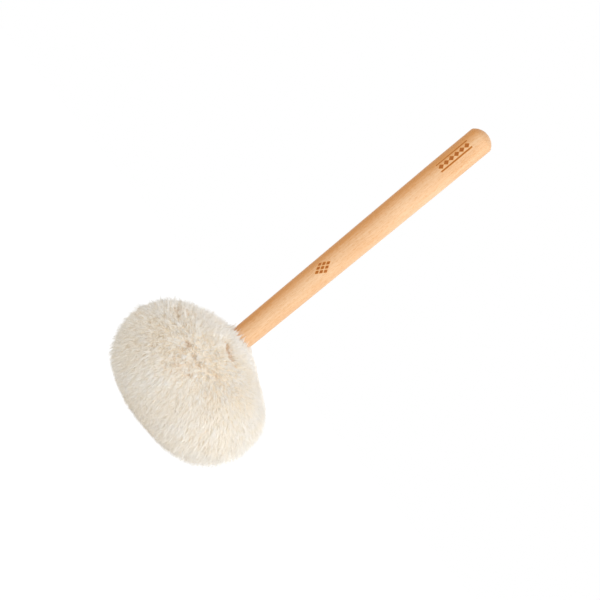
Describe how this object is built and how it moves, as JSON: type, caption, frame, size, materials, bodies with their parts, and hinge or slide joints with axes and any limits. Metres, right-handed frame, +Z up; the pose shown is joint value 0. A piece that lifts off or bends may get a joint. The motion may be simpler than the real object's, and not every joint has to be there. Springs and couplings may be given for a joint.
{
  "type": "tam-tam mallet",
  "caption": "Gong mallet with a large soft fleece-covered round head on a tapered turned maple handle with a domed butt.",
  "frame": {"origin": "centre of the flat on the striking face that the mallet stands on, at the bottom of its box", "axes": "+Z up along the handle, from the striking face to the butt; X and Y are across the head and are alike"},
  "size_m": [0.1508, 0.1508, 0.3812],
  "materials": {
    "handle_wood": "satin",
    "core_wood": "matte",
    "fastener_steel": "satin",
    "felt": "matte",
    "batting": "matte",
    "knit_backing": "matte",
    "fleece_pile": "matte",
    "binding_thread": "matte"
  },
  "bodies": {
    "root": {"handle": "handle_wood", "core_hub": "core_wood", "core_screw": "fastener_steel", "core_washer": "fastener_steel", "felt_front_pad": "felt", "felt_rim_band": "felt", "felt_rear_pad": "felt", "neck_felt_ring": "felt", "batting_front": "batting", "batting_rear": "batting", "fleece_backing": "knit_backing", "fleece_pile": "fleece_pile", "neck_binding": "binding_thread", "hem_drawstring": "binding_thread"}
  },
  "joints": []
}
